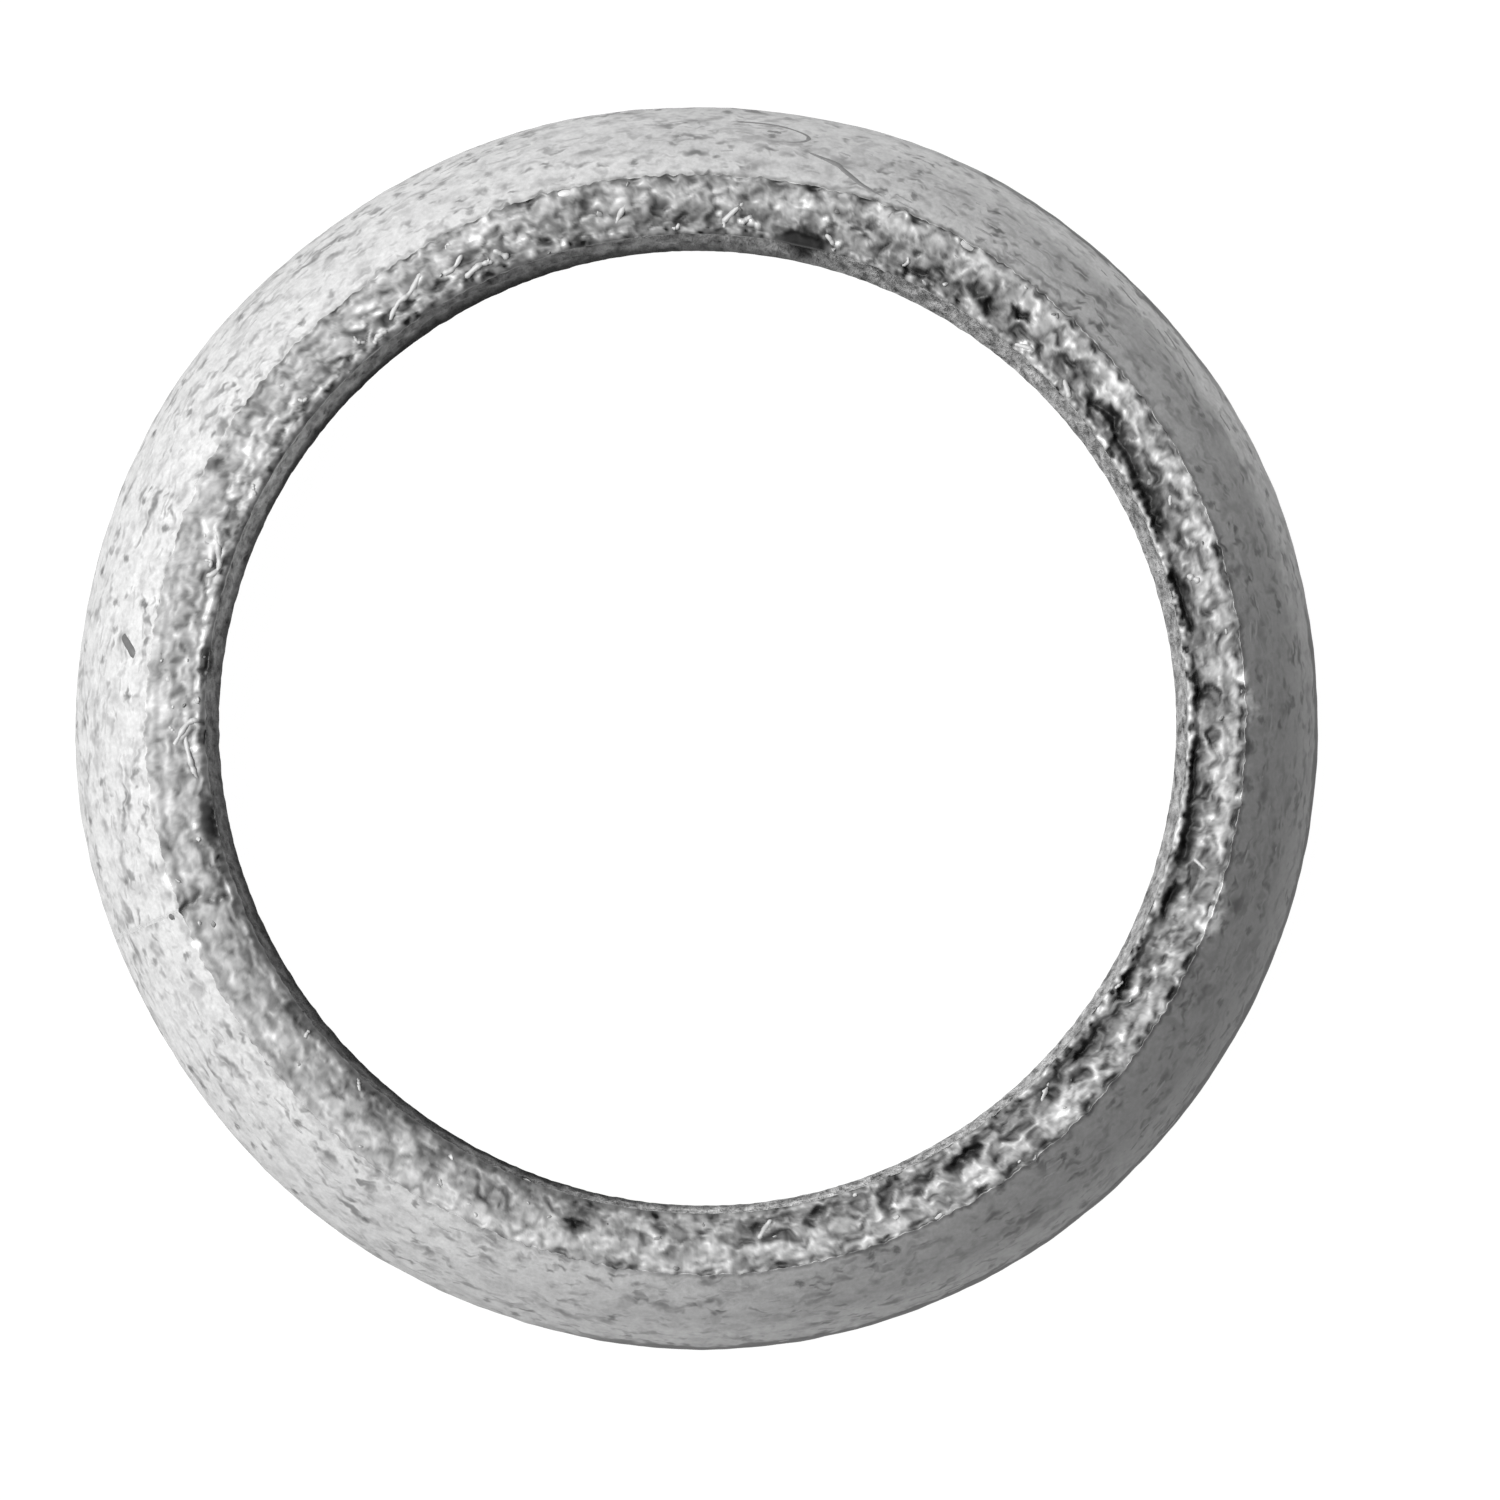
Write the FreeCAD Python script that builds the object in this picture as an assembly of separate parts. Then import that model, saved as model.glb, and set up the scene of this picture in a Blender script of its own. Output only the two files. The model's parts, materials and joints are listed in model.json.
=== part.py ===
import FreeCAD
import Part
import math
import os
import random

# Ring gasket for a flared exhaust joint, pressed from knitted wire mesh and filler.
# It stands on its wide end: the origin is the centre of the base, and +Z runs up the bore.
# Lengths are in millimetres and angles in degrees, counterclockwise from +X seen from above.

# Driving dimensions of the pressed ring
bore_diameter = 50.8
land_width = 3.1
seat_spread = 4.5
ring_height = 15.0
wall_height = 4.0

# Edges broken by the press tool
base_bore_bevel = 0.4
base_rim_bevel = 0.7
wall_top_round = 4.0

# Thin lip of mesh round the bore at the narrow end
lip_width = 0.45
lip_drop = 0.3
lip_unevenness = 0.12

# Side where the press rolled the inner edge down into the bore instead of leaving a lip
rolled_span = (100.0, 255.0)
roll_ramp = 18.0
roll_depth = 0.6
roll_left_at_lip = 0.6
roll_left_at_crevice = 0.25

# Crumpled land between the lip and the seat, which leans in towards the bore
column_count = 180
fold_height = 0.42
inward_lean = 0.3
edge_drop = 0.12
edge_unevenness = 0.32
radial_scatter = 0.12
column_scatter = 0.3
scatter_seed = 11

# Crevices open between the lip and the folds, and the end of the outer wrap
crevice_offset = 0.32
crevice_width = 0.85
shallow_crevice = 0.25
deep_crevice = 1.3
deep_crevice_spans = [
    (1.0, 6.0),
    (10.0, 18.0),
    (22.0, 40.0),
    (62.0, 66.0),
    (74.5, 82.0),
    (189.0, 195.0),
    (300.0, 304.0),
    (318.0, 323.0),
    (326.0, 331.0),
    (337.0, 342.0),
    (343.5, 358.5),
]
wrap_end_angle = 200.0
wrap_end_depth = 0.6

# Room that the cutting block needs above the land and past both its edges
block_reach = 1.2

# The land is the narrow end's top, and the seat spreads from its edge out to the wall
bore_radius = bore_diameter / 2
land_radius = bore_radius + land_width
outer_radius = land_radius + seat_spread


def seat_sphere():
    """Height of the centre and radius of the sphere through the wall's top and the land's edge."""
    rise = ring_height - wall_height
    square_gap = land_radius**2 + ring_height**2 - outer_radius**2 - wall_height**2
    centre_height = square_gap / (2 * rise)
    return centre_height, math.hypot(outer_radius, wall_height - centre_height)


def section_point(radius, height):
    return FreeCAD.Vector(radius, 0, height)


def seat_point(height):
    """Point of the seat's curve at a height, in the section plane."""
    centre_height, seat_radius = seat_sphere()
    return section_point(math.sqrt(seat_radius**2 - (height - centre_height)**2), height)


def wall_top_arc():
    """Arc that rounds the blunt corner where the straight wall turns into the seat."""
    centre_height, seat_radius = seat_sphere()
    inner_reach = outer_radius - wall_top_round
    arc_height = centre_height + math.sqrt((seat_radius - wall_top_round)**2 - inner_reach**2)
    seat_turn = math.atan2(arc_height - centre_height, inner_reach)
    points = []
    for turn in (0, seat_turn / 2, seat_turn):
        radius = inner_reach + wall_top_round * math.cos(turn)
        points.append(section_point(radius, arc_height + wall_top_round * math.sin(turn)))
    return points


def plain_ring():
    """The ring as a turned solid, a little taller than the land so that the folds can be cut."""
    top = ring_height + block_reach / 2
    bore_end = section_point(bore_radius, top)
    bore_corner = section_point(bore_radius, base_bore_bevel)
    base_inner = section_point(bore_radius + base_bore_bevel, 0)
    base_outer = section_point(outer_radius - base_rim_bevel, 0)
    rim_corner = section_point(outer_radius, base_rim_bevel)
    wall_end, round_middle, seat_start = wall_top_arc()
    seat_middle = seat_point((seat_start.z + top) / 2)
    seat_end = seat_point(top)
    corners = [seat_end, bore_end, bore_corner, base_inner, base_outer, rim_corner, wall_end]
    outline = Part.makePolygon(corners)
    round_curve = Part.Arc(wall_end, round_middle, seat_start).toShape()
    seat_curve = Part.Arc(seat_start, seat_middle, seat_end).toShape()
    section = Part.Face(Part.Wire(outline.Edges + [round_curve, seat_curve]))
    return section.revolve(FreeCAD.Vector(0, 0, 0), FreeCAD.Vector(0, 0, 1), 360)


def in_deep_crevice(angle):
    return any(start <= angle <= end for start, end in deep_crevice_spans)


def rolled_share(angle):
    """0 where the lip stands free and 1 where the inner edge is rolled down all the way."""
    start, end = rolled_span
    inside = min(angle - start, end - angle) / roll_ramp
    return min(max(inside, 0.0), 1.0)


def land_rows(scatter):
    """Rings of points from inside the bore out past the seat: lists of radius, angle and height."""
    pitch = 360 / column_count
    lip_height = ring_height - lip_drop
    crevice_radius = bore_radius + lip_width + crevice_offset
    fold_start = bore_radius + lip_width + crevice_width
    fold_lines = [(fold_start, inward_lean), ((fold_start + land_radius) / 2, 0.0)]
    rows = [[], [], [], [], [], [], []]
    for column in range(column_count):
        angle = column * pitch
        wrap_end = abs(angle - wrap_end_angle) < pitch / 2
        sunk = wrap_end_depth if wrap_end else 0.0
        rolled = rolled_share(angle)
        rolled_down = roll_depth * rolled
        lip_top = lip_height - lip_unevenness * scatter.random()
        lip_side = lip_top - lip_unevenness * scatter.random()
        rows[0].append((bore_radius - block_reach, angle, lip_top - rolled_down))
        rows[1].append((bore_radius + lip_width / 2, angle, lip_top - rolled_down))
        rows[2].append((bore_radius + lip_width, angle, lip_side - rolled_down * roll_left_at_lip))
        floor_depth = shallow_crevice * (1 + scatter.random()) * (1 - rolled)
        floor_depth = deep_crevice if in_deep_crevice(angle) else floor_depth
        floor_height = lip_height - floor_depth - rolled_down * roll_left_at_crevice
        rows[3].append((crevice_radius, angle, floor_height - sunk))
        for row, (radius, lean) in zip(rows[4:6], fold_lines):
            turned = angle + pitch * column_scatter * scatter.uniform(-1, 1)
            moved = radius + radial_scatter * scatter.uniform(-1, 1)
            row.append((moved, turned, ring_height - fold_height * scatter.random() - lean - sunk))
        edge_height = ring_height - edge_drop - edge_unevenness * scatter.random() - sunk
        turned = angle + pitch * column_scatter * scatter.uniform(-1, 1)
        rows[6].append((land_radius + block_reach, turned, edge_height))
    return rows


def crumpled_block():
    """Block above the land whose underside is the crumpled relief."""
    rows = land_rows(random.Random(scatter_seed))
    roof = ring_height + block_reach
    rows.append([(radius, angle, roof) for radius, angle, height in rows[-1]])
    rows.append([(radius, angle, roof) for radius, angle, height in rows[0]])
    points = []
    for row in rows:
        for radius, angle, height in row:
            turn = math.radians(angle)
            points.append(FreeCAD.Vector(radius * math.cos(turn), radius * math.sin(turn), height))
    facets = []
    for index in range(len(rows)):
        inner = index * column_count
        outer = (index + 1) % len(rows) * column_count
        for column in range(column_count):
            following = (column + 1) % column_count
            corners = (inner + column, outer + column, outer + following, inner + following)
            if (column + index) % 2:
                corners = corners[1:] + corners[:1]
            facets.append((corners[0], corners[1], corners[2]))
            facets.append((corners[0], corners[2], corners[3]))
    skin = Part.Shape()
    skin.makeShapeFromMesh((points, facets), 0.0001)
    block = Part.Solid(skin.Shells[0])
    if block.Volume < 0:
        block.reverse()
    return block


def gasket_ring():
    return plain_ring().cut(crumpled_block())


os.makedirs("parts", exist_ok=True)
ring = gasket_ring()
ring.exportStep("parts/gasket_ring.step")
print("gasket_ring valid", ring.isValid(), "solids", len(ring.Solids), "volume mm3", round(ring.Volume, 1))
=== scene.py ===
import json
import math
import bpy
import numpy as np
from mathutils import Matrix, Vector


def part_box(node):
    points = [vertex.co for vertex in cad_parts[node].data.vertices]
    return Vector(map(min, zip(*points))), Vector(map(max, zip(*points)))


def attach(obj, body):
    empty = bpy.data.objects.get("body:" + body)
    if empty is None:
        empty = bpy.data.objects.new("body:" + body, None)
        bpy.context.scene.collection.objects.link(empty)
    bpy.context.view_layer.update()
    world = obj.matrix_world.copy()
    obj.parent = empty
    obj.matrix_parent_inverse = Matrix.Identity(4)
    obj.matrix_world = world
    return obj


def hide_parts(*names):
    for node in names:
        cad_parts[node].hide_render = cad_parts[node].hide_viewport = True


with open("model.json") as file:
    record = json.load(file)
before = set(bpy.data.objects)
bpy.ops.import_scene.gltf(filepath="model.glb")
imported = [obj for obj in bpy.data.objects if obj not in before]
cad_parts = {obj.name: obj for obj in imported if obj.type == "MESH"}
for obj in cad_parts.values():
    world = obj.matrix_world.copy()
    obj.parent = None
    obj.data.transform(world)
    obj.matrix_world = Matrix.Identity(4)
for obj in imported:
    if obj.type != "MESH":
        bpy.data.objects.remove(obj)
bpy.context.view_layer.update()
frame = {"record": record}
mm = 0.001
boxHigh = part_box("gasket_ring")[1]
boreMount = next(m for m in frame["record"]["mounts"] if m["name"] == "bore")

ring = {
    "boreRadius": boreMount["dims"]["r_mm"],
    "outerRadius": boxHigh[0] / mm,
    "height": boxHigh[2] / mm,
    "landWidth": 3.1,
    "wallHeight": 4.0,
    "wallTopRound": 4.0,
    "rimRound": 0.8,
    "boreRound": 0.4,
    "fineColumns": 1600,      # round the crumpled end; the rest has half as many
    "outerSlack": 0.12,       # how far the mean outline stays inside the largest circle
    "outerLobes": [(3, 0.095, 128), (9, 0.04, -114), (8, 0.03, 115), (2, 0.028, -79)],
    "boreLobes": [(2, 0.07, -62), (3, 0.06, 133), (4, 0.03, 74)],
    "wallDrop": 0.5,          # how far below the top the bore's wall gives way to the lip
    "gloomSpan": (8.5, 1.5),  # heights between which painted shade darkens the bore's wall
}
# radii at which mm round the ring are counted: on the land, at its edge and on the seat
landMiddle, landEdge, seatMiddle = 27.0, 28.5, 31.0
landRadius = ring["boreRadius"] + ring["landWidth"]
rise = ring["height"] - ring["wallHeight"]
squareGap = landRadius ** 2 + ring["height"] ** 2 - ring["outerRadius"] ** 2 - ring["wallHeight"] ** 2
# the sphere that the seat is part of
seatCentre = squareGap / (2 * rise)
seatRadius = math.hypot(ring["outerRadius"], ring["wallHeight"] - seatCentre)
print("frame loaded, seat sphere", round(seatRadius, 2), "mm")


def addObject(name, data):
    made = bpy.data.objects.new(name, data)
    bpy.context.scene.collection.objects.link(made)
    return made


def newMesh(name, points, faces):
    mesh = bpy.data.meshes.new(name)
    mesh.from_pydata(points.tolist(), [], faces)
    mesh.polygons.foreach_set("use_smooth", [True] * len(faces))
    mesh.update()
    return mesh


def polar(azimuth, radius, height):
    return np.stack([radius * np.cos(azimuth), radius * np.sin(azimuth), height], axis=-1)


def unit(directions):
    return directions / np.linalg.norm(directions, axis=-1, keepdims=True)


def smooth(low, high, value):
    t = np.clip((value - low) / (high - low), 0, 1)
    return t * t * (3 - 2 * t)


def lobes(azimuth, waves):
    total = 0 * azimuth
    for count, height, phase in waves:
        total = total + height * np.cos(count * azimuth - math.radians(phase))
    return total


def outerShift(azimuth):
    return lobes(azimuth, ring["outerLobes"]) - ring["outerSlack"]


def turnsFrom(azimuth, place):
    # angle from a place, at most half a turn either way
    return (azimuth - math.radians(place) + math.pi) % (2 * math.pi) - math.pi


def noiseField(source, arcLength, depth, cell, stretch=1.0):
    # gradient noise of about -1 to 1 that repeats after arcLength along u
    columns, rows = max(4, round(arcLength / cell / stretch)), int(depth / cell) + 6
    turns = source.uniform(0, 2 * math.pi, (columns, rows))
    slopes = np.stack([np.cos(turns), np.sin(turns)], axis=-1)

    def read(u, v):
        x = u / arcLength * columns
        y = np.clip(v / cell + 2, 0, rows - 2.001)
        i, j = np.floor(x).astype(int), np.floor(y).astype(int)
        fx, fy = x - i, y - j

        def corner(di, dj):
            slope = slopes[(i + di) % columns, j + dj]
            return slope[..., 0] * (fx - di) + slope[..., 1] * (fy - dj)
        sx, sy = smooth(0, 1, fx), smooth(0, 1, fy)
        low = corner(0, 0) * (1 - sx) + corner(1, 0) * sx
        high = corner(0, 1) * (1 - sx) + corner(1, 1) * sx
        return (low * (1 - sy) + high * sy) * 1.5
    return read


def cellField(source, arcLength, depth, size):
    # irregular cells, each with its own height, tilt and tone, as the flakes of the crumple have
    columns, rows = max(4, round(arcLength / size)), int(depth / size) + 4
    step = arcLength / columns
    jitter = source.uniform(0.1, 0.9, (columns, rows, 2))
    traits = source.uniform(-1, 1, (columns, rows, 4))

    def read(u, v):
        i, j = np.floor(u / step).astype(int), np.floor(v / size).astype(int) + 1
        nearest, second = np.full(u.shape, np.inf), np.full(u.shape, np.inf)
        found = np.zeros(u.shape + (6,))
        for di in (-1, 0, 1):
            for dj in (-1, 0, 1):
                column, row = (i + di) % columns, np.clip(j + dj, 0, rows - 1)
                du = u - (i + di + jitter[column, row, 0]) * step
                dv = v - (j - 1 + dj + jitter[column, row, 1]) * size
                distance = np.hypot(du, dv)
                closer = distance < nearest
                second = np.where(closer, nearest, np.minimum(second, distance))
                nearest = np.where(closer, distance, nearest)
                values = np.concatenate([traits[column, row], du[..., None], dv[..., None]], axis=-1)
                found[closer] = values[closer]
        return found, second - nearest
    return read


crumple = {
    "seed": 5,
    "rollWidth": 0.85,
    "swells": [(1.0, 0.075), (0.42, 0.055), (0.22, 0.028)],   # size and height of the soft folds
    "ridge": (0.75, 0.035),
    "stretch": 1.7,           # how much longer the folds are round the ring than across it
    "hollows": (0.6, 0.2),
    "warp": 0.3,
    "glint": 0.42,
    "flake": 0.66,
    "flakeTilt": 0.06,
    "chip": 0.3,
    "chipTilt": 0.1,
    "lipGroove": (0.12, 0.6, 0.12),    # depth, mm out from the bore and width
    "creviceDepth": 0.75,
    # start, end, mm out from the bore and half width of each crevice
    "crevices": [
        (1, 6, 0.6, 0.15), (10, 18, 0.55, 0.16), (22, 29, 0.65, 0.25), (28, 35, 0.9, 0.27),
        (34, 40, 1.1, 0.25), (50, 53, 1.6, 0.14), (62, 66, 0.6, 0.14), (74.2, 80.8, 0.05, 0.36),
        (56.0, 58.0, 1.3, 0.26), (53.6, 56.2, 0.9, 0.3), (170.0, 176, 0.12, 0.2),
        (179.6, 183.4, 0.05, 0.13), (187, 195.4, 0.2, 0.34), (255, 257, 1.3, 0.15), (276, 278, 0.8, 0.2),
        (283, 285, 0.6, 0.2), (300, 304, 0.9, 0.25), (318, 323, 0.8, 0.2), (326, 331, 0.6, 0.15),
        (337, 342, 0.8, 0.2), (343.5, 351, 0.75, 0.28), (350, 358.5, 0.55, 0.18)],
    # folds coiled into rings: azimuth, mm out from the bore, size, how far they open towards the bore
    "swirls": [(100.7, 1.95, 1.35, 0.3), (57.4, 1.45, 0.95, 1.0)],
    # pale lumps on the land and patches across its edge: azimuth, mm out from the bore, size, tone
    "lumps": [
        (1.8, 3.5, 0.7, 0.95), (339.0, 3.4, 1.05, 1.1), (342.4, 3.2, 0.4, 1.0), (4.6, 3.2, 0.4, 1.0),
        (352.0, 3.1, 0.3, 0.9), (84.8, 0.75, 0.26, 1.3), (83.9, 0.7, 0.24, 1.3), (83.0, 0.65, 0.2, 1.2),
        (75.6, 1.5, 0.3, 1.3), (73.6, 0.5, 0.24, 1.2), (87.4, 1.1, 0.22, 1.1), (77.8, 2.1, 0.4, 1.2),
        (114.5, 2.0, 0.4, 1.15), (113.2, 2.3, 0.3, 1.15), (111.0, 1.5, 0.3, 1.1), (109.6, 1.2, 0.28, 1.1),
        (118.6, 0.8, 0.24, 1.2), (128.8, 0.5, 0.3, 1.1), (49.0, 0.5, 0.3, 1.4), (48.2, 0.55, 0.24, 1.3),
        (35.6, 1.9, 0.24, 1.2), (331.6, 1.6, 0.3, 1.2), (328.4, 1.2, 0.3, 1.2), (323.6, 2.0, 0.34, 1.2),
        (183.0, 0.5, 0.3, 1.2), (191.6, 1.0, 0.26, 1.2), (196.5, 3.1, 0.24, 1.3), (204.0, 3.0, 0.28, 1.3)],
    "notch": (74.1, 80.6),    # torn from the top of the bore's wall
    # how dark the notch is painted, as the shade in its hole
    "notchDark": 1.14,
    "wrapEnd": 200.0,
    "edgeRagged": 0.24,
    "lipWidth": 0.24,
    "steps": [(0.0, 0.3, 5), (0.38, 2.76, 25), (2.83, 3.08, 6)],    # rows of points: from, to, count
}

# size in mm of the cells of each field of chance, and how much longer they are round the ring
cells = {
    "warp": (0.8, 1.0), "toneWide": (1.1, 1.6), "toneFine": (0.38, 1.3), "grain": (0.18, 1.0),
    "glint": (0.27, 1.1), "cluster": (0.85, 1.5), "lipGrain": (0.35, 1.0), "lipGaps": (1.6, 1.0),
    "edgeWave": (0.9, 1.0), "edgeBite": (0.35, 1.0), "groove": (0.9, 1.0), "rimWave": (1.6, 1.0),
    "rimGrain": (0.6, 1.0), "creviceWave": (1.5, 1.0), "creviceBreak": (0.7, 1.0), "dent": (5.0, 1.0),
    "boreBump": (0.75, 1.2), "boreRipple": (0.8, 1.0), "boreGrain": (0.36, 1.2),
}

# shares and heights by mm out from the bore
profiles = {
    "dish": ([0, 0.26, 0.4, 0.75, 1.2, 1.9, 2.6, 3.1],
             [-0.36, -0.34, -0.4, -0.42, -0.32, -0.18, -0.17, -0.2]),
    "folds": ([0.3, 0.7, 1.3, 1.9, 2.5, 3.1], [0.6, 1.0, 1.0, 0.8, 0.6, 0.35]),
    "hollows": ([0.4, 1.0, 1.7, 2.3], [0.6, 1, 0.8, 0.25]),
    "mixed": ([1.2, 2.0], [1.0, 0.75]),
    "glints": ([1.6, 2.4], [1.0, 0.5]),
    "clusters": ([0.5, 0.8, 1.4, 2.4], [0.55, 0.75, 0.65, 0.2]),
    # tone: darker just beyond the lip, a painted shade of the inner hollows
    "tone": ([0, 0.24, 0.45, 1.1, 1.7, 2.2, 3.1], [0.9, 0.85, 0.3, 0.42, 0.85, 1.05, 1.1]),
}

# by azimuth: how far the inner part rolls down into the bore, the painted light and shade of the bore's wall
# round the ring and how much painted shade darkens the wall lower down
rollAt = [0, 60, 72.6, 75, 79.8, 82, 95, 120, 135, 165, 185, 200, 235, 260, 285, 360]
wallShadeAt = [0, 30, 60, 75, 95, 120, 150, 180, 210, 245, 270, 300, 330, 360]
evenly = list(range(0, 361, 30))
rounds = {
    "roll": (rollAt, [0, 0.08, 0.1, 0.8, 0.8, 0.25, 0.4, 0.55, 0.36, 0.32, 0.55, 0.7, 0.8, 0.5, 0.08, 0]),
    "bare": (wallShadeAt, [0.75, 0.79, 1.12, 1.1, 1.15, 0.84, 2.3, 1.1, 0.68, 0.66, 1.6, 1.06, 0.78, 0.75]),
    "gloom": (wallShadeAt, [0, 0, 0.1, 0.3, 0.8, 1.05, 0.95, 0.5, 0.85, 1.05, 0.6, 0.1, 0, 0]),
    # the land's brightness, evenness, pits, folds and dark edge, then the tones of lip, seat and rim; the
    # brightness, pits, dark edge and tones are painted light and shade set round the ring
    "landTone": (evenly, [0.93, 0.98, 0.95, 0.96, 0.98, 1.18, 1.22, 1.13, 1.07, 1.0, 1.02, 1.0, 0.93]),
    "landEven": (evenly, [0, 0, 0.15, 0.35, 0.9, 1.15, 1.0, 0.5, 0.55, 0.35, 0.15, 0, 0]),
    "landPits": (evenly, [1, 1, 1, 0.9, 0.75, 0.4, 0.3, 0.35, 0.5, 0.8, 1, 1, 1]),
    "landFolds": (evenly, [1, 1, 0.95, 0.9, 0.85, 0.65, 0.4, 0.35, 0.5, 0.75, 1, 1, 1]),
    "landGroove": (evenly, [0.86, 0.62, 1, 0.48, 0.5, 0.12, 0.02, 0.06, 0.25, 0.6, 0.85, 1, 0.86]),
    "lipTone": (evenly, [1.22, 1.2, 0.82, 0.92, 1.45, 0.88, 1.5, 1.3, 0.78, 0.68, 0.7, 1.14, 1.22]),
    "seatTone": (evenly, [0.84, 1.04, 1.22, 1.08, 0.99, 0.98, 0.98, 1.03, 1.07, 1.03, 0.88, 0.85, 0.84]),
    "rimTone": (evenly, [0.44, 1.3, 0.44, 0.1, 0.07, 0, 0, 0.09, 0.06, 0.24, 0.5, 0.08, 0.44]),
}


def profile(name, out):
    return np.interp(out, *profiles[name])


def buildRingMesh():
    source = np.random.default_rng(crumple["seed"])
    names = ("height", "boreRadius", "outerRadius", "wallTopRound", "rimRound", "boreRound")
    top, boreRadius, outerRadius, wallRound, rimRound, boreRound = [ring[name] for name in names]
    arc = 2 * math.pi * landMiddle
    # depth in mm that the fields cover
    landDeep, wallDeep, dentDeep = ring["landWidth"] + 1.0, 20, 40

    def chance(deep, *names):
        return [noiseField(source, arc, deep, *cells[name]) for name in names]

    warpU, warpV = chance(landDeep, "warp", "warp")
    folded = (*crumple["swells"], crumple["ridge"], crumple["hollows"])
    *swellFields, ridgeField, hollowField = [
        noiseField(source, arc, landDeep, size, crumple["stretch"]) for size, height in folded]
    flakes, chips = [cellField(source, arc, landDeep, crumple[name]) for name in ("flake", "chip")]
    toneWide, toneFine, fineGrain = chance(landDeep, "toneWide", "toneFine", "grain")
    glintField, clusterField, lipGrain, lipGaps = chance(landDeep, "glint", "cluster", "lipGrain", "lipGaps")
    edgeWave, edgeBite = chance(landDeep + 2, "edgeWave", "edgeBite")
    grooveWave, = chance(landDeep, "groove")
    rimWave, rimGrain = chance(wallDeep, "rimWave", "rimGrain")
    creviceWave, creviceBreak = chance(landDeep, "creviceWave", "creviceBreak")
    dent, = chance(dentDeep, "dent")
    boreBump, boreRipple, boreGrain = chance(wallDeep, "boreBump", "boreRipple", "boreGrain")

    fine = np.arange(ring["fineColumns"]) * (2 * math.pi / ring["fineColumns"])
    coarse = fine[::2]

    def boreShift(azimuth):
        u = azimuth * landMiddle
        return lobes(azimuth, ring["boreLobes"]) + 0.035 * boreRipple(u, 0) + 0.02 * edgeBite(u, 0)

    def edgeRadius(azimuth):
        u = azimuth * landMiddle
        ragged = edgeWave(u, 0) * 0.6 + edgeBite(u, 0) * 0.5
        ragged = crumple["edgeRagged"] * np.clip(ragged, -0.3, 1)
        return landRadius + 0.1 + outerShift(azimuth) + ragged

    def creviceSink(azimuth, v=0.0, sway=0.0, swell=1.0):
        # how deep the crevices and a faint groove beside the lip cut in at v mm from the bore
        degrees = np.degrees(azimuth) % 360
        deep, out, width = crumple["lipGroove"]
        sink = deep * np.exp(-((v - out - sway) / (width * swell)) ** 2)
        for start, end, centre, half in crumple["crevices"]:
            soft = (1.2 if centre > 0.25 else 2.6) if end - start > 2.4 else (end - start) / 2
            along = smooth(start - 0.6, start + soft, degrees) * smooth(end + 0.6, end - soft, degrees)
            across = np.exp(-np.abs((v - centre - sway) / (half * swell * (0.4 + 0.6 * along))) ** 2.5)
            sink = np.maximum(sink, along * across)
        return sink * crumple["creviceDepth"]

    def swirlFolds(azimuth, v):
        # rings of folds and how near they are
        rings, near = 0 * azimuth, 0 * azimuth
        for place, out, size, opened in crumple["swirls"]:
            away = turnsFrom(azimuth, place) * landMiddle
            distance = np.hypot(away / 1.5, v - out) / size
            fade = np.exp(-distance ** 2)
            outside = smooth(-0.5, 0.4, (v - out + 0.5 * away) / size)
            rings = rings + fade * np.cos(2 * math.pi * distance * 1.5) * (1 - opened * (1 - outside))
            near = near + fade
        return rings, np.clip(near, 0, 1)

    def paleLumps(azimuth, v):
        # where the pale lumps lie, and their tone
        share, shade = 0 * azimuth, 0 * azimuth
        u = azimuth * landMiddle
        bumps = 0.4 * edgeBite(u, v) + 0.25 * fineGrain(u, v)
        for place, out, size, level in crumple["lumps"]:
            away = turnsFrom(azimuth, place) * landEdge
            found = smooth(1.1, 0.3, np.hypot(away / 1.2, v - out) / size + bumps)
            shade = np.where(found > share, level, shade)
            share = np.maximum(share, found)
        return share, shade

    def wrapStep(azimuth, v):
        away = np.degrees(azimuth) - crumple["wrapEnd"] - 0.5 * math.sin(v * 2.3) - 0.25 * math.sin(v * 6 + 1)
        return np.exp(-(away / 0.5) ** 2) + 0.35 * np.exp(-((away + 0.9) / 1.1) ** 2)

    rows = []
    rollAway, bare, gloom, *landTables = [np.interp(np.degrees(fine), *table) for table in rounds.values()]
    landTone, landEven, landPits, landFolds, landGroove, lipTone, seatTone, rimTone = landTables

    def addRow(azimuth, radius, height, tone=0.5, pit=0.0, zone=0):
        full = azimuth * 0
        rows.append((azimuth, full + radius, full + height, full + tone, full + pit, zone))

    def rimRough(height):
        u = coarse * landMiddle
        return 0.03 * rimWave(u, height) + 0.02 * rimGrain(u, height) - 0.01

    def notchShare(azimuth, drop=0.0):
        # narrower and more ragged the further it drops below the lip
        u = azimuth * landMiddle
        degrees = np.degrees(azimuth) % 360 + 1.2 * boreRipple(u, 3 * drop) * min(drop, 1)
        start, end = crumple["notch"]
        opened = smooth(start + 0.5 * drop, start + 1.2 + drop, degrees)
        return opened * smooth(end - 0.5 * drop, end - 1.2 - drop, degrees)

    def tilted(cell, height):
        # how high a tilted scale stands at each of its points
        return height * (cell[..., 1] * cell[..., 4] + cell[..., 2] * cell[..., 5])

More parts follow.
